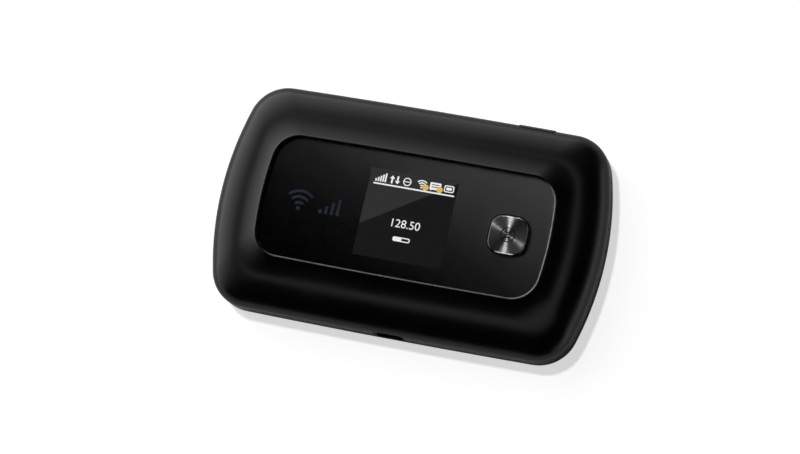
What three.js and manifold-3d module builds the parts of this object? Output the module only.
// Pocket mobile hotspot, lying on its back: a crowned front housing with a sunk glossy lens, a small square
// display and a menu key, a chassis that holds the board, and a battery cover that pulls off the back.
// Millimetres. X runs along the body, +Y points to the edge with the power key, +Z leaves the display,
// and the origin is the middle of the face that the body rests on.
import * as THREE from "three";
import { mergeVertices } from "three/addons/utils/BufferGeometryUtils.js";
import Module from "manifold-3d";

const wasm = await Module();
wasm.setup();

// ---------------------------------------------------------------- driving dimensions

const BODY = { halfLength: 56, halfWidth: 32.8, endRadius: 90, sideRadius: 3000, cornerRadius: 11.2 };
const RECESS = { halfLength: 41.7, halfWidth: 17.7, endRadius: 98, sideRadius: 3000, cornerRadius: 7.6 };
const THICKNESS = 15.8; // back face to the rim round the lens
const PARTING_Z = 8.2; // where the front housing meets the battery cover
const PARTING_GAP = 0.2;
const CROWN_WIDTH = BODY.halfLength - RECESS.halfLength;

const SKIRT_WALL = 1.7; // front housing
const SHELF = { z: 14.2, thickness: 1.1 }; // ledge under the lens
const CEILING_Z = SHELF.z - SHELF.thickness;
const COVER = { wall: 1.3, floor: 1.2 };
const CHASSIS = { outerInset: 1.9, innerInset: 3.1, lowZ: 3.4, highZ: 9.9, plateLow: 7.2, plateHigh: 8.0 };
const CATCH = { xs: [-38, -14, 19, 42], length: 5, reach: 2.5, lowZ: 5.2, highZ: 6.4, clearance: 0.4 };
const NOTCH = { radius: 9, depth: 0.8, rise: 7.6 }; // fingernail scoop in the cover's rim

const LENS = { gap: 0.2, lowZ: 14.35, highZ: 15.45 };
const MENU_KEY = { x: 30, y: -0.1, width: 10.9, corner: 3.4, gap: 0.4, topZ: 15.6 };
const MENU_STEM = { lowZ: 10.85, radius: 1.6 };
const MENU_FLANGE = { lowZ: 12.3, margin: 1.2, thickness: 0.6 };
const POWER_KEY = { x: 30.4, z: 9.9, length: 10.6, height: 2.0, corner: 0.9, gap: 0.15, proud: 0.25 };
const POWER_FLANGE = { lowY: 28.5, thickness: 0.6, margin: 1 };
const PORT = { x: 1.6, z: 7.6, width: 8.94, height: 3.26, depth: 7.3, mouthY: -31.2, clearance: 0.3 };

const BOARD = { lowZ: 8.3, highZ: 9.1 };
const SEAT_GAP = 0.05; // between a part and what it is soldered, glued or pressed to
const SEAT_Z = BOARD.highZ + SEAT_GAP; // where parts on the board's upper side stand
const UNDER_Z = BOARD.lowZ - SEAT_GAP; // where parts on its lower side hang from
const CAN_TOP_Z = 10.9;
const DISPLAY = { x: 0.4, width: 29.6, lowY: -16.6, highY: 14.4, lowZ: 11.9, highZ: 14.0 };
const ACTIVE = { y: -0.1, width: 25.5 }; // the lit square

const BATTERY = { lowX: -45, highX: 21, lowY: -21.6, highY: 26.4, lowZ: 1.57, highZ: 6.95, capLength: 3.4 };
const BAY = { clearance: 0.5, wall: 1, lowZ: 2.4, fingerX0: -18, fingerX1: -4 };
const TERMINAL_YS = [8.5, 12, 15.5];
const CONNECTOR = { lowX: 22.2, length: 3.4, margin: 2.3, lowZ: 3.2 };
const SIM = { x: 38.2, y: 10.55, width: 8.8, length: 12.3, thickness: 0.67, lowZ: 6.42 };
const SIM_HOLDER = { halfWidth: 5.4, lowY: 5.6, highY: 17.2, lowZ: 6.12, sheet: 0.2 };
const RESET = { x: 46.5, y: -8, half: 1.7, lowZ: 7.6, pinhole: 0.85 };
const SCREWS = [
  [-48.6, 15],
  [-48.6, -15],
  [-22, -26],
  [24, -26],
  [47, 19.5],
  [47, -19.5],
];
const SCREW = { shaftRadius: 0.7, headRadius: 1.5, headHeight: 0.85, length: 5.2, slotWidth: 0.4 };
const PILOT_RADIUS = SCREW.shaftRadius + 0.12;
const BOSS_RADIUS = 2.2;
const FAR = 200; // beyond the body in every direction

// ---------------------------------------------------------------- solids from three.js geometry

// A closed geometry as a manifold-3d solid.
function solidOf(geometry) {
  const bare = geometry.index ? geometry.toNonIndexed() : geometry.clone();
  for (const name of Object.keys(bare.attributes)) if (name !== "position") bare.deleteAttribute(name);
  const merged = mergeVertices(bare, 1e-4);
  const mesh = new wasm.Mesh({
    numProp: 3,
    vertProperties: merged.attributes.position.array,
    triVerts: new Uint32Array(merged.index.array),
  });
  return new wasm.Manifold(mesh);
}

// A manifold-3d solid as a geometry with flat normals.
function geometryOf(solid) {
  const mesh = solid.getMesh();
  const positions = new Float32Array(mesh.numVert * 3);
  for (let i = 0; i < mesh.numVert; i++) {
    const at = i * mesh.numProp;
    positions.set(mesh.vertProperties.subarray(at, at + 3), i * 3);
  }
  const indexed = new THREE.BufferGeometry()
    .setAttribute("position", new THREE.BufferAttribute(positions, 3))
    .setIndex(new THREE.BufferAttribute(mesh.triVerts, 1));
  const geometry = indexed.toNonIndexed();
  geometry.computeVertexNormals();
  return geometry;
}

const cut = (solid, ...tools) => tools.reduce((rest, tool) => rest.subtract(tool), solid);
const join = (solid, ...others) => others.reduce((whole, other) => whole.add(other), solid);

function block(x0, x1, y0, y1, z0, z1) {
  const geometry = new THREE.BoxGeometry(x1 - x0, y1 - y0, z1 - z0);
  return solidOf(geometry.translate((x0 + x1) / 2, (y0 + y1) / 2, (z0 + z1) / 2));
}

// An upright cylinder.
function drum(x, y, radius, z0, z1, segments = 16) {
  const geometry = new THREE.CylinderGeometry(radius, radius, z1 - z0, segments);
  return solidOf(geometry.rotateX(Math.PI / 2).translate(x, y, (z0 + z1) / 2));
}

// A shape extruded upwards from z0 to z1, with an optional bevel round its upper edge.
function prism(shape, z0, z1, bevel = 0) {
  const geometry = new THREE.ExtrudeGeometry(shape, {
    depth: z1 - z0 - bevel,
    bevelEnabled: bevel > 0,
    bevelThickness: bevel,
    bevelSize: bevel,
    bevelOffset: -bevel,
    bevelSegments: 2,
    curveSegments: 5,
  });
  const placed = solidOf(geometry.translate(0, 0, z0));
  // The extrusion bevels both ends; a straight copy of the lower part squares the bottom again.
  if (!bevel) return placed;
  return join(cut(placed, block(-FAR, FAR, -FAR, FAR, z0 - bevel - 1, z0)), prism(shape, z0, z1 - bevel));
}

// A shape drawn in (x, z) and extruded along Y from y0 to y1.
function prismAlongY(shape, y0, y1) {
  const options = { depth: y1 - y0, bevelEnabled: false, curveSegments: 5 };
  const geometry = new THREE.ExtrudeGeometry(shape, options);
  return solidOf(geometry.rotateX(Math.PI / 2).translate(0, y1, 0));
}

// A shape drawn in (y, z) and extruded along X from x0 to x1.
function prismAlongX(shape, x0, x1) {
  const options = { depth: x1 - x0, bevelEnabled: false, curveSegments: 5 };
  const geometry = new THREE.ExtrudeGeometry(shape, options);
  const turn = new THREE.Matrix4().makeBasis(
    new THREE.Vector3(0, 1, 0),
    new THREE.Vector3(0, 0, 1),
    new THREE.Vector3(1, 0, 0),
  );
  return solidOf(geometry.applyMatrix4(turn).translate(x0, 0, 0));
}

function roundedRect(x, y, width, height, radius) {
  const [w, h] = [width / 2 - radius, height / 2 - radius];
  const shape = new THREE.Shape();
  shape.absarc(x + w, y + h, radius, 0, Math.PI / 2);
  shape.absarc(x - w, y + h, radius, Math.PI / 2, Math.PI);
  shape.absarc(x - w, y - h, radius, Math.PI, 1.5 * Math.PI);
  shape.absarc(x + w, y - h, radius, 1.5 * Math.PI, 2 * Math.PI);
  shape.closePath();
  return shape;
}

// A strip of sheet metal or film seen edge on: a smooth line through [across, z] points, given a thickness.
function ribbon(path, thickness) {
  const line = new THREE.SplineCurve(path.map(([across, z]) => new THREE.Vector2(across, z)));
  const steps = path.length * 2;
  const points = Array.from({ length: steps + 1 }, (_, i) => line.getPoint(i / steps));
  const sides = points.map((_, i) => {
    const along = line.getTangent(i / steps);
    return new THREE.Vector2(-along.y, along.x).multiplyScalar(thickness / 2);
  });
  const left = points.map((p, i) => p.clone().add(sides[i]));
  const right = points.map((p, i) => p.clone().sub(sides[i]));
  return new THREE.Shape([...right, ...left.reverse()]);
}

// ---------------------------------------------------------------- the body's outlines

// An outline with bowed sides: one arc along each end and each long side, and a tangent arc at each corner.
function bowedOutline({ halfLength, halfWidth, endRadius, sideRadius, cornerRadius }) {
  const endCentre = new THREE.Vector2(halfLength - endRadius, 0);
  const sideCentre = new THREE.Vector2(0, halfWidth - sideRadius);
  const toEnd = endRadius - cornerRadius;
  const toSide = sideRadius - cornerRadius;
  const span = sideCentre.clone().sub(endCentre);
  const along = (toEnd ** 2 - toSide ** 2 + span.lengthSq()) / (2 * span.length());
  const across = Math.sqrt(toEnd ** 2 - along ** 2);
  const direction = span.normalize();
  const corner = endCentre
    .clone()
    .addScaledVector(direction, along)
    .addScaledVector(new THREE.Vector2(-direction.y, direction.x), across);
  const endAngle = corner.clone().sub(endCentre).angle();
  const sideAngle = corner.clone().sub(sideCentre).angle();
  const arc = (centre, radius, from, to, steps) =>
    Array.from({ length: steps }, (_, i) => {
      const angle = from + ((to - from) * i) / steps;
      return new THREE.Vector2(centre.x + radius * Math.cos(angle), centre.y + radius * Math.sin(angle));
    });
  const quarter = [
    ...arc(endCentre, endRadius, 0, endAngle, 3),
    ...arc(corner, cornerRadius, endAngle, sideAngle, 7),
    ...arc(sideCentre, sideRadius, sideAngle, Math.PI / 2, 1),
    new THREE.Vector2(0, halfWidth),
  ];
  const mirrorX = (p) => new THREE.Vector2(-p.x, p.y);
  const mirrorY = (p) => new THREE.Vector2(p.x, -p.y);
  const half = [...quarter, ...quarter.slice(0, -1).reverse().map(mirrorX)];
  return [...half, ...half.slice(1, -1).reverse().map(mirrorY)];
}

// The same outline moved inwards everywhere by one distance.
function inset(outline, distance) {
  return Object.fromEntries(Object.entries(outline).map(([name, value]) => [name, value - distance]));
}

// The crown's outline at a distance in from the body's edge: it turns from the body's into the recess's.
function crownOutline(distance) {
  const share = distance / CROWN_WIDTH;
  const blend = (name) => [name, BODY[name] + (RECESS[name] - BODY[name]) * share];
  return bowedOutline(Object.fromEntries(Object.keys(BODY).map(blend)));
}

// A closed body through a stack of outlines, listed upwards as { outline, z }.
function loft(sections) {
  const count = sections[0].outline.length;
  const positions = sections.flatMap(({ outline, z }) => outline.flatMap((p) => [p.x, p.y, z]));
  const faces = [];
  for (let level = 0; level < sections.length - 1; level++) {
    for (let i = 0; i < count; i++) {
      const [a, b] = [level * count + i, level * count + ((i + 1) % count)];
      faces.push(a, b, b + count, a, b + count, a + count);
    }
  }
  const top = (sections.length - 1) * count;
  for (const [a, b, c] of THREE.ShapeUtils.triangulateShape(sections[0].outline, [])) {
    faces.push(a, c, b, top + a, top + b, top + c);
  }
  const geometry = new THREE.BufferGeometry()
    .setAttribute("position", new THREE.Float32BufferAttribute(positions, 3))
    .setIndex(faces);
  return solidOf(geometry);
}

// Half-sections of the outside, as [distance in from the edge, z] along curves.
const vector = ([x, y]) => new THREE.Vector2(x, y);
const curve = (...points) => new THREE.CubicBezierCurve(...points.map(vector));
const CROWN_ROLL = curve([0, 8.5], [0, 11], [3.3, 13.9], [8.4, 14.1]);
const CROWN_RISE = curve([8.4, 14.1], [10.3, 14.18], [12.2, 14.8], [13.9, 15.66]);
const COVER_EDGE = curve([4.6, 0], [1.4, 0], [0, 1.6], [0, 4.2]);
// And of the hollows inside.
const HOUSING_INSIDE = [
  [SKIRT_WALL, PARTING_Z - 1],
  [SKIRT_WALL, 10],
  [2.6, 11.6],
  [4.4, 12.6],
  [6.6, CEILING_Z],
];
const COVER_INSIDE = [
  [4, COVER.floor],
  [2.2, 2],
  [COVER.wall, 3.3],
  [COVER.wall, PARTING_Z + 1],
];

const bodyAt = (distance) => bowedOutline(inset(BODY, distance));
const bodyPrism = (distance, z0, z1) => prism(new THREE.Shape(bodyAt(distance)), z0, z1);
const bodyLoft = (profile) => loft(profile.map(([distance, z]) => ({ outline: bodyAt(distance), z })));

// The same block on both long sides, reaching from the inner to the outer distance from the middle line.
function onBothSides(x0, x1, inner, outer, z0, z1) {
  return [block(x0, x1, inner, outer, z0, z1), block(x0, x1, -outer, -inner, z0, z1)];
}

// ---------------------------------------------------------------- materials

function finish(color, roughness, metalness = 0) {
  return new THREE.MeshStandardMaterial({ color, roughness, metalness });
}

const SHELL_BLACK = finish(0x1b1b1c, 0.5);
const LENS_BLACK = finish(0x060607, 0.08);
const CHASSIS_BLACK = finish(0x161617, 0.6);
const KEY_METAL = finish(0x55565a, 0.3, 0.9);
const STEEL = finish(0xb9bbbe, 0.35, 0.9);
const GOLD = finish(0xc9a24a, 0.3, 0.9);
const BOARD_GREEN = finish(0x123a24, 0.5);
const CHIP_BLACK = finish(0x202124, 0.5);
const DISPLAY_GLASS = finish(0x1c1c1e, 0.1);
const FOAM = finish(0x2a2a2b, 0.95);
const FILM = finish(0xa8672c, 0.45);
const BATTERY_GREY = finish(0x3a3c40, 0.5);
const LABEL_WHITE = finish(0xd9dadb, 0.6);
const CARD_WHITE = finish(0xe8e8e6, 0.5);
const SWITCH_PLASTIC = finish(0x2b2b2e, 0.6);

const model = new THREE.Group();

function add(name, solid, material) {
  const mesh = new THREE.Mesh(geometryOf(solid), material);
  mesh.name = name;
  model.add(mesh);
}

// ---------------------------------------------------------------- casings

// The crown's upper surface, moved outwards by a distance, down to z0.
function crown(outset, z0) {
  const sides = [...CROWN_ROLL.getPoints(6), ...CROWN_RISE.getPoints(4).slice(1)];
  return loft([
    { outline: crownOutline(0.1 - outset), z: z0 },
    ...sides.map(({ x, y }) => ({ outline: crownOutline(x - outset), z: y })),
    { outline: crownOutline(CROWN_WIDTH - 0.12 - outset), z: THICKNESS },
  ]);
}

function frontHousing() {
  const lensSeat = prism(new THREE.Shape(bowedOutline(RECESS)), SHELF.z, THICKNESS + 1);
  const room = 0.3;
  const displayOpening = block(
    DISPLAY.x - DISPLAY.width / 2 - room,
    DISPLAY.x + DISPLAY.width / 2 + room,
    DISPLAY.lowY - room,
    DISPLAY.highY + room,
    CEILING_Z - 1,
    SHELF.z + 1,
  );
  const shell = cut(
    crown(0, PARTING_Z + PARTING_GAP / 2),
    bodyLoft(HOUSING_INSIDE),
    lensSeat,
    displayOpening,
    keyHole(CEILING_Z - 1, SHELF.z + 1),
    prismAlongY(powerKeyShape(POWER_KEY.gap), BODY.halfWidth - 5, BODY.halfWidth + 2),
    portOpening(),
  );
  const plateZ = CHASSIS.plateHigh;
  const wallInside = crown(-1, PARTING_Z);
  const posts = SCREWS.map(([x, y]) => drum(x, y, BOSS_RADIUS, plateZ + 0.1, CEILING_Z + 0.3, 14));
  const bosses = posts.map((post) => post.intersect(wallInside));
  const pilots = SCREWS.map(([x, y]) => drum(x, y, PILOT_RADIUS, plateZ - 0.5, CEILING_Z - 0.4, 10));
  return cut(join(shell, ...bosses), ...pilots);
}

// The hole for the plug, shared by the two shells that meet at its middle.
function portOpening() {
  const { x, z, width, height, clearance } = PORT;
  const corner = height / 2 + clearance - 0.1;
  const shape = roundedRect(x, z, width + 2 * clearance, height + 2 * clearance, corner);
  return prismAlongY(shape, -BODY.halfWidth - 2, -BODY.halfWidth + 3.8);
}

function batteryCover() {
  const edge = COVER_EDGE.getPoints(5).map(({ x, y }) => [x, y]);
  const rim = PARTING_Z - PARTING_GAP / 2;
  const outside = bodyLoft([...edge, [0, rim - 0.15], [0.1, rim]]);
  const shell = cut(outside, bodyLoft(COVER_INSIDE), portOpening(), fingernailNotch());
  const { xs, length, reach, lowZ, highZ } = CATCH;
  const [inner, outer] = [BODY.halfWidth - reach, BODY.halfWidth - COVER.wall + 0.3];
  const catches = xs.flatMap((x) => onBothSides(x - length / 2, x + length / 2, inner, outer, lowZ, highZ));
  return join(shell, ...catches);
}

// A shallow scoop in the cover's rim at the left end, to pull it off by.
function fingernailNotch() {
  const length = 4;
  const scoop = new THREE.CylinderGeometry(NOTCH.radius, NOTCH.radius, length, 28);
  const x = -BODY.halfLength + NOTCH.depth - length / 2;
  return solidOf(scoop.rotateZ(Math.PI / 2).translate(x, 0, PARTING_Z + NOTCH.rise));
}

function chassis() {
  const { outerInset, innerInset, lowZ, highZ, plateLow, plateHigh } = CHASSIS;
  const wall = cut(bodyPrism(outerInset, lowZ, highZ), bodyPrism(innerInset, lowZ - 1, highZ + 1));
  const plate = bodyPrism(innerInset - 0.1, plateLow, plateHigh);
  return cut(join(wall, plate, batteryBay()), ...chassisOpenings());
}

// Four walls round the battery, open below, with a way through to the contacts and room for a finger.
function batteryBay() {
  const { clearance, wall, lowZ, fingerX0, fingerX1 } = BAY;
  const [x0, x1] = [BATTERY.lowX - clearance, BATTERY.highX + clearance];
  const [y0, y1] = [BATTERY.lowY - clearance, BATTERY.highY + clearance];
  const ceiling = CHASSIS.plateLow;
  const [contactY0, contactY1] = connectorSpan(0.4);
  return cut(
    block(x0 - wall, x1 + wall, y0 - wall, y1 + wall, lowZ, ceiling + 0.1),
    block(x0, x1, y0, y1, lowZ - 1, ceiling),
    block(x1 - 0.5, x1 + 2 * wall, contactY0, contactY1, lowZ - 1, ceiling + 0.2),
    block(fingerX0, fingerX1, y0 - 2 * wall, y0 + 0.5, lowZ - 1, lowZ + 2.6),
  );
}

// How far the battery connector reaches along Y, with some room added.
function connectorSpan(room) {
  const reach = CONNECTOR.margin + room;
  return [TERMINAL_YS[0] - reach, TERMINAL_YS[2] + reach];
}

// What passes through the chassis: connector, card holder, reset switch, socket, power key, screws, catches.
function chassisOpenings() {
  const room = 0.4;
  const [below, above] = [CHASSIS.plateLow - 1.2, CHASSIS.plateHigh + 1];
  const [contactY0, contactY1] = connectorSpan(room);
  const connectorX1 = CONNECTOR.lowX + CONNECTOR.length + room;
  const { halfWidth, lowY, highY } = SIM_HOLDER;
  const trayHalf = halfWidth + room;
  const switchHalf = RESET.half + room;
  const socketHalf = PORT.width / 2 + room;
  const socketBack = PORT.mouthY + PORT.depth + room;
  const keyHalf = POWER_KEY.length / 2 + room;
  const keyLow = POWER_KEY.z - POWER_KEY.height / 2 - 0.3;
  const wallInside = BODY.halfWidth - CHASSIS.innerInset - 0.2;
  const catchHalf = CATCH.length / 2 + CATCH.clearance;
  const catchTop = CATCH.highZ + CATCH.clearance;
  return [
    block(CONNECTOR.lowX - room, connectorX1, contactY0, contactY1, below, above),
    block(SIM.x - trayHalf, SIM.x + trayHalf, lowY - room, highY + room, below, above),
    block(RESET.x - switchHalf, RESET.x + switchHalf, RESET.y - switchHalf, RESET.y + switchHalf, 7.5, above),
    drum(RESET.x, RESET.y, RESET.pinhole, below, above, 12),
    block(PORT.x - socketHalf, PORT.x + socketHalf, -BODY.halfWidth, socketBack, 5.6, CHASSIS.highZ + 1),
    block(POWER_KEY.x - keyHalf, POWER_KEY.x + keyHalf, 28, BODY.halfWidth, keyLow, CHASSIS.highZ + 1),
    ...SCREWS.map(([x, y]) => drum(x, y, PILOT_RADIUS, below, above, 10)),
    ...CATCH.xs.flatMap((x) =>
      onBothSides(x - catchHalf, x + catchHalf, wallInside, wallInside + 1.7, 3, catchTop),
    ),
  ];
}

// ---------------------------------------------------------------- lens, display and keys

function menuKeyShape(margin, cornerMargin = margin) {
  const { x, y, width, corner } = MENU_KEY;
  return roundedRect(x, y, width + 2 * margin, width + 2 * margin, corner + cornerMargin);
}

const keyHole = (z0, z1) => prism(menuKeyShape(MENU_KEY.gap), z0, z1);

function lens() {
  const plate = prism(new THREE.Shape(bowedOutline(inset(RECESS, LENS.gap))), LENS.lowZ, LENS.highZ);
  return cut(plate, keyHole(LENS.lowZ - 1, LENS.highZ + 1));
}

// A ring of adhesive between the shelf and the lens.
function lensAdhesive() {
  const [low, high] = [SHELF.z + 0.02, LENS.lowZ - 0.02];
  const [edge, width] = [0.5, 0.9];
  const outer = prism(new THREE.Shape(bowedOutline(inset(RECESS, edge))), low, high);
  return cut(outer, prism(new THREE.Shape(bowedOutline(inset(RECESS, edge + width))), low - 1, high + 1));
}

function menuKey() {
  const { lowZ, margin, thickness } = MENU_FLANGE;
  const cap = prism(menuKeyShape(0), lowZ + thickness - 0.1, MENU_KEY.topZ, 0.25);
  const flange = prism(menuKeyShape(margin, 0.5), lowZ, lowZ + thickness);
  const stem = drum(MENU_KEY.x, MENU_KEY.y, MENU_STEM.radius, MENU_STEM.lowZ, lowZ + thickness / 2, 12);
  return join(cap, flange, stem);
}

function powerKeyShape(margin) {
  const { x, z, length, height, corner } = POWER_KEY;
  return roundedRect(x, z, length + 2 * margin, height + 2 * margin, corner + margin);
}

// A pill whose face follows the crown, standing a little proud of it.
function powerKey() {
  const { x, z, length, height, proud } = POWER_KEY;
  const { lowY, thickness, margin } = POWER_FLANGE;
  const half = length / 2 + margin;
  const pill = prismAlongY(powerKeyShape(0), lowY + thickness - 0.1, BODY.halfWidth + 2);
  const face = crown(proud, z - height);
  const flange = block(x - half, x + half, lowY, lowY + thickness, z - height / 2, z + height / 2);
  return join(pill.intersect(face), flange);
}

function displayParts() {
  const { x, width, lowY, highY, lowZ, highZ } = DISPLAY;
  const [x0, x1] = [x - width / 2, x + width / 2];
  const tray = cut(
    block(x0, x1, lowY, highY, lowZ, highZ),
    block(x0 + 0.5, x1 - 0.5, lowY + 0.5, highY - 0.5, lowZ + 0.3, highZ + 1),
    block(x - 6.4, x + 6.4, lowY - 1, lowY + 1, lowZ + 0.4, lowZ + 1.25), // slot for the flex
  );
  add("display_frame", tray, STEEL);
  const backlight = block(x0 + 0.6, x1 - 0.6, lowY + 2.4, highY - 0.6, lowZ + 0.35, lowZ + 1.2);
  add("display_backlight", backlight, LABEL_WHITE);
  const glass = block(x0 + 0.6, x1 - 0.6, lowY + 0.7, highY - 0.6, lowZ + 1.3, highZ - 0.05);
  add("display_glass", glass, DISPLAY_GLASS);
  const window = ACTIVE.width / 2 + 0.4;
  const gasketRing = cut(
    block(x0 + 0.4, x1 - 0.4, lowY + 0.6, highY - 0.4, highZ + SEAT_GAP, LENS.lowZ - SEAT_GAP),
    block(x - window, x + window, ACTIVE.y - window, ACTIVE.y + window, highZ - 1, LENS.lowZ + 1),
  );
  add("display_gasket", gasketRing, FOAM);
  const flexPath = [
    [lowY + 2.2, lowZ + 0.85],
    [lowY - 0.6, lowZ + 0.85],
    [lowY - 1.3, lowZ + 0.3],
    [lowY - 1.3, 10.7],
    [lowY - 0.7, 10.17],
    [lowY + 3, 10.17],
  ];
  add("display_flex", prismAlongX(ribbon(flexPath, 0.14), x - 6, x + 6), FILM);
  add("display_connector", block(x - 6.6, x + 6.6, lowY + 0.4, lowY + 4, SEAT_Z, 10.05), CHIP_BLACK);
}

// ---------------------------------------------------------------- switches

function switches() {
  menuSwitch();
  powerSwitch();
  resetSwitch();
}

// A square tact switch whose round plunger meets the menu key's stem.
function menuSwitch() {
  const { x, y } = MENU_KEY;
  const [half, top, plungerRadius] = [2.6, 10.3, 1.0];
  const body = block(x - half, x + half, y - half, y + half, SEAT_Z, top);
  add("menu_switch_body", cut(body, drum(x, y, plungerRadius + 0.1, top - 0.8, top + 1, 14)), STEEL);
  const plunger = drum(x, y, plungerRadius, top - 0.4, MENU_STEM.lowZ - SEAT_GAP, 14);
  add("menu_switch_plunger", plunger, SWITCH_PLASTIC);
}

// A side-push switch: its plunger comes out of the body towards the power key's flange.
function powerSwitch() {
  const { x, z } = POWER_KEY;
  const [half, lowY, highY, top] = [3, 24.4, 27.4, 10.8];
  const plunger = { halfWidth: 1.3, halfHeight: 0.5, lowY: 26.8 };
  const [holeX, holeZ] = [plunger.halfWidth + 0.1, plunger.halfHeight + 0.1];
  const body = block(x - half, x + half, lowY, highY, SEAT_Z, top);
  const hole = block(x - holeX, x + holeX, plunger.lowY - 0.4, highY + 1, z - holeZ, z + holeZ);
  add("power_switch_body", cut(body, hole), STEEL);
  const tip = POWER_FLANGE.lowY - SEAT_GAP;
  const { halfWidth, halfHeight } = plunger;
  const pin = block(x - halfWidth, x + halfWidth, plunger.lowY, tip, z - halfHeight, z + halfHeight);
  add("power_switch_plunger", pin, SWITCH_PLASTIC);
}

// A small switch under the board, pressed through a pinhole in the chassis.
function resetSwitch() {
  const { x, y, half, lowZ } = RESET;
  const plungerRadius = 0.6;
  const body = block(x - half, x + half, y - half, y + half, lowZ, UNDER_Z);
  add("reset_switch_body", cut(body, drum(x, y, plungerRadius + 0.1, lowZ - 0.6, lowZ + 0.4, 12)), STEEL);
  add("reset_switch_plunger", drum(x, y, plungerRadius, lowZ - 0.3, lowZ + 0.18, 12), SWITCH_PLASTIC);
}

// ---------------------------------------------------------------- board and what is soldered to it

function mainBoard() {
  const outline = { halfLength: 51.4, halfWidth: 28, endRadius: 85, sideRadius: 3000, cornerRadius: 9 };
  const board = prism(new THREE.Shape(bowedOutline(outline)), BOARD.lowZ, BOARD.highZ);
  const [below, above] = [BOARD.lowZ - 1, BOARD.highZ + 1];
  const room = 0.3;
  const notchHalf = PORT.width / 2 + room;
  const notchBack = PORT.mouthY + PORT.depth + room;
  const notch = block(PORT.x - notchHalf, PORT.x + notchHalf, -BODY.halfWidth, notchBack, below, above);
  const holes = SCREWS.map(([x, y]) => drum(x, y, BOSS_RADIUS + 0.4, below, above, 14));
  return cut(board, notch, ...holes);
}

// A shield can: a thin steel lid with four walls, open towards the board.
function shieldCan(x0, x1, y0, y1) {
  const wall = 0.2;
  const inside = block(x0 + wall, x1 - wall, y0 + wall, y1 - wall, SEAT_Z - 1, CAN_TOP_Z - wall);
  return cut(block(x0, x1, y0, y1, SEAT_Z, CAN_TOP_Z), inside);
}

function boardParts() {
  add("main_board", mainBoard(), BOARD_GREEN);
  add("shield_can_modem", shieldCan(-39, -15, -13, 13), STEEL);
  add("shield_can_radio", shieldCan(-12, 8, 3, 21), STEEL);
  add("shield_can_wifi", shieldCan(34.5, 46, -15, -2), STEEL);
  const chip = (name, x, y, width, depth, height) => {
    const [w, d] = [width / 2, depth / 2];
    add(name, block(x - w, x + w, y - d, y + d, SEAT_Z, SEAT_Z + height), CHIP_BLACK);
  };
  chip("modem_chip", -31, 4, 12, 12, 1.1);
  chip("memory_chip", -20.5, -4, 9, 11, 0.9);
  chip("radio_chip", -6, 14, 7, 7, 0.9);
  chip("power_chip", 3, 10, 6, 6, 0.9);
  chip("wifi_chip", 40, -8.5, 6.5, 6.5, 0.9);
  usbSocket();
}

// A steel sleeve closed at the back, and the tongue that stands in it on a thicker root.
function usbSocket() {
  const { x, z, width, height, mouthY, depth } = PORT;
  const [sheet, back, corner] = [0.3, 0.4, 1.5];
  const backY = mouthY + depth;
  const bore = roundedRect(x, z, width - 2 * sheet, height - 2 * sheet, corner - sheet);
  const sleeve = prismAlongY(roundedRect(x, z, width, height, corner), mouthY, backY);
  add("usb_c_shell", cut(sleeve, prismAlongY(bore, mouthY - 1, backY - back)), STEEL);
  const tip = block(x - 3.35, x + 3.35, mouthY + 0.6, backY - 1, z - 0.35, z + 0.35);
  const root = block(x - 3.5, x + 3.5, backY - 1.5, backY - back - SEAT_GAP, z - 0.95, z + 0.95);
  add("usb_c_tongue", join(tip, root), CHIP_BLACK);
}

function simParts() {
  const { x, y, width, length, thickness, lowZ } = SIM;
  const { halfWidth, lowY, highY, lowZ: trayZ, sheet } = SIM_HOLDER;
  const inside = halfWidth - sheet;
  const shell = cut(
    block(x - halfWidth, x + halfWidth, lowY, highY, trayZ, UNDER_Z),
    block(x - inside, x + inside, lowY - 1, highY - sheet, trayZ + sheet, UNDER_Z + 1),
    block(x - 3, x + 3, lowY - 1, lowY + 2.8, trayZ - 1, trayZ + sheet + 0.1), // room for a thumb
  );
  add("sim_holder_shell", shell, STEEL);
  const contactLow = lowZ + thickness + 0.1;
  const contacts = block(x - 5, x + 5, lowY + 1.4, highY - 0.4, contactLow, UNDER_Z - SEAT_GAP);
  add("sim_contact_block", contacts, CHIP_BLACK);
  const [x0, x1, y0, y1] = [x - width / 2, x + width / 2, y - length / 2, y + length / 2];
  const keyed = 1.65; // the cut-off corner
  const corners = [[x0, y0], [x1, y0], [x1, y1 - keyed], [x1 - keyed, y1], [x0, y1]];
  add("sim_card", prism(new THREE.Shape(corners.map(vector)), lowZ, lowZ + thickness), CARD_WHITE);
}

// ---------------------------------------------------------------- battery

function batteryParts() {
  const { lowX, highX, lowY, highY, lowZ, highZ, capLength } = BATTERY;
  const capX = highX - capLength;
  const cellLength = capX - SEAT_GAP - lowX;
  const cellShape = roundedRect(lowX + cellLength / 2, (lowY + highY) / 2, cellLength, highY - lowY, 1.2);
  add("battery_cell", prism(cellShape, lowZ, highZ), BATTERY_GREY);
  const windows = TERMINAL_YS.map((y) => block(highX - 0.5, highX + 1, y - 1.2, y + 1.2, 3.2, highZ + 1));
  add("battery_end_cap", cut(block(capX, highX, lowY, highY, lowZ, highZ), ...windows), SWITCH_PLASTIC);
  const label = block(lowX + 1, capX - 1, lowY + 1, highY - 1, lowZ - 0.15, lowZ - 0.03);
  add("battery_label", label, LABEL_WHITE);
  TERMINAL_YS.forEach((y, i) => {
    add(`battery_terminal_${i + 1}`, block(highX - 0.45, highX - 0.25, y - 1.1, y + 1.1, 3.3, 6.6), GOLD);
  });
}

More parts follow.
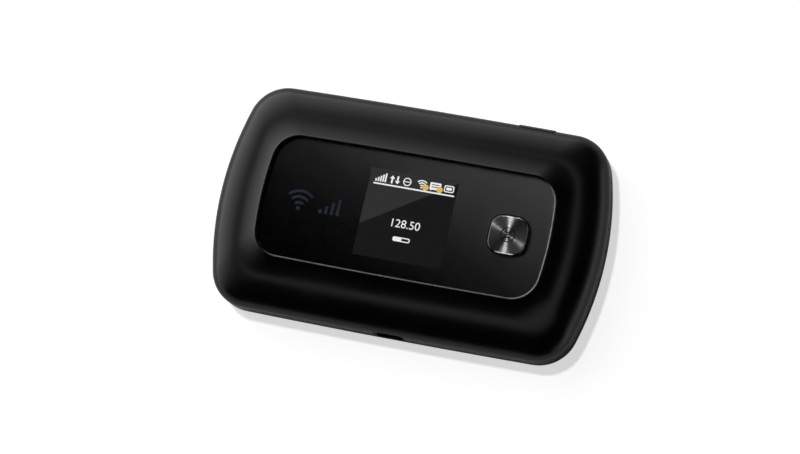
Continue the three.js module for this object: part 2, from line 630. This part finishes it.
// The connector under the board, with a bowed spring contact in each of its three slots.
function batteryConnector() {
  const { lowX, length, lowZ } = CONNECTOR;
  const [y0, y1] = connectorSpan(0);
  const slots = TERMINAL_YS.map((y) => block(lowX - 1, lowX + 2.3, y - 0.75, y + 0.75, lowZ + 0.5, 6.9));
  add("battery_connector", cut(block(lowX, lowX + length, y0, y1, lowZ, UNDER_Z), ...slots), SWITCH_PLASTIC);
  const springPath = [
    [lowX + 2.1, 6.5],
    [lowX + 0.6, 6.5],
    [lowX - 0.7, 5.9],
    [lowX - 1.2, 5.0],
    [lowX - 0.6, 4.3],
    [lowX + 1.6, 4.1],
  ];
  TERMINAL_YS.forEach((y, i) => {
    add(`battery_contact_${i + 1}`, prismAlongY(ribbon(springPath, 0.22), y - 0.6, y + 0.6), GOLD);
  });
}

// ---------------------------------------------------------------- antennas and fasteners

// A film antenna under the ceiling, with a slot cut in from one side, and the spring that feeds it.
function antenna(name, x0, x1, y0, y1, slot, springX, springY) {
  const z = CEILING_Z - 0.2;
  const thickness = 0.15;
  add(`antenna_${name}`, cut(block(x0, x1, y0, y1, z, z + thickness), block(...slot, z - 1, z + 1)), FILM);
  const footZ = BOARD.highZ + 0.2;
  const path = [
    [springX - 1.4, footZ],
    [springX + 0.8, footZ],
    [springX + 1.5, 10.2],
    [springX + 0.3, 11.5],
    [springX - 0.6, z - 0.5],
    [springX + 0.2, z - 0.2],
  ];
  add(`antenna_spring_${name}`, prismAlongY(ribbon(path, 0.2), springY - 0.7, springY + 0.7), GOLD);
}

function antennas() {
  antenna("main", -46, -41.2, -17, 17, [-44.4, -40, -2, -1], -43.6, 5);
  antenna("diversity", 41.5, 46, -14.5, 14.5, [40, 44.4, 1, 2], 43.4, 8);
  antenna("wifi_1", -39, -25, 20.6, 25.2, [-37, -26.5, 22.6, 23.2], -32, 21.7);
  antenna("wifi_2", -42, -27, -25.2, -20.6, [-40, -28.5, -23.2, -22.6], -35, -21.7);
}

// Pan-head screws driven up through the chassis, each with a cross cut in its head.
function screws() {
  const { shaftRadius, headRadius, headHeight, length, slotWidth } = SCREW;
  const seat = CHASSIS.plateLow - SEAT_GAP;
  const low = seat - headHeight;
  const [arm, half] = [headRadius * 0.57, slotWidth / 2];
  SCREWS.forEach(([x, y], i) => {
    const rim = drum(x, y, headRadius, low + 0.25, seat, 14);
    const head = join(rim, drum(x, y, headRadius * 0.75, low, seat, 14));
    const shaft = drum(x, y, shaftRadius, seat - 0.1, seat + length, 10);
    const slotX = block(x - arm, x + arm, y - half, y + half, low - 1, low + 0.5);
    const slotY = block(x - half, x + half, y - arm, y + arm, low - 1, low + 0.5);
    add(`housing_screw_${i + 1}`, cut(join(head, shaft), slotX, slotY), STEEL);
  });
}

// ---------------------------------------------------------------- assembly

add("front_housing", frontHousing(), SHELL_BLACK);
add("rear_chassis", chassis(), CHASSIS_BLACK);
add("battery_cover", batteryCover(), SHELL_BLACK);
add("front_lens", lens(), LENS_BLACK);
add("lens_adhesive", lensAdhesive(), FOAM);
add("menu_key", menuKey(), KEY_METAL);
add("power_key", powerKey(), SHELL_BLACK);
displayParts();
switches();
boardParts();
simParts();
batteryParts();
batteryConnector();
antennas();
screws();

export default model;
